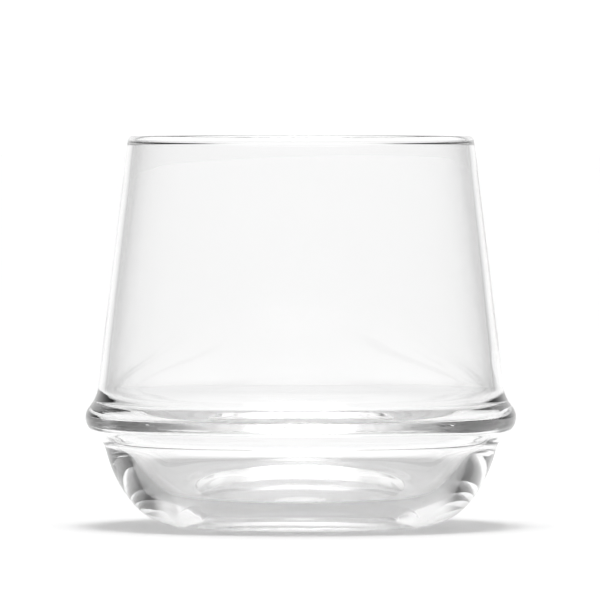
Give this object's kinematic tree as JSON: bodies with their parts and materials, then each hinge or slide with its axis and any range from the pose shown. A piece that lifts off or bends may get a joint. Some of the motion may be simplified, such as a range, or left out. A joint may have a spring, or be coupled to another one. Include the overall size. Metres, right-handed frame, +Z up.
{
  "type": "whiskey tumbler",
  "caption": "Round clear-glass whiskey tumbler with a thick rounded bowl, a hollow bead around the waist and a thin wall tapering in to a rounded rim.",
  "frame": {"origin": "centre of the foot, on the surface the glass stands on", "axes": "+Z up along the glass's axis, out of the mouth; the glass is round about Z, so X and Y are equal"},
  "size_m": [0.095, 0.095, 0.086],
  "materials": {
    "clear_glass": "clear, fire-polished"
  },
  "bodies": {
    "root": {"tumbler": "clear_glass"}
  },
  "joints": []
}
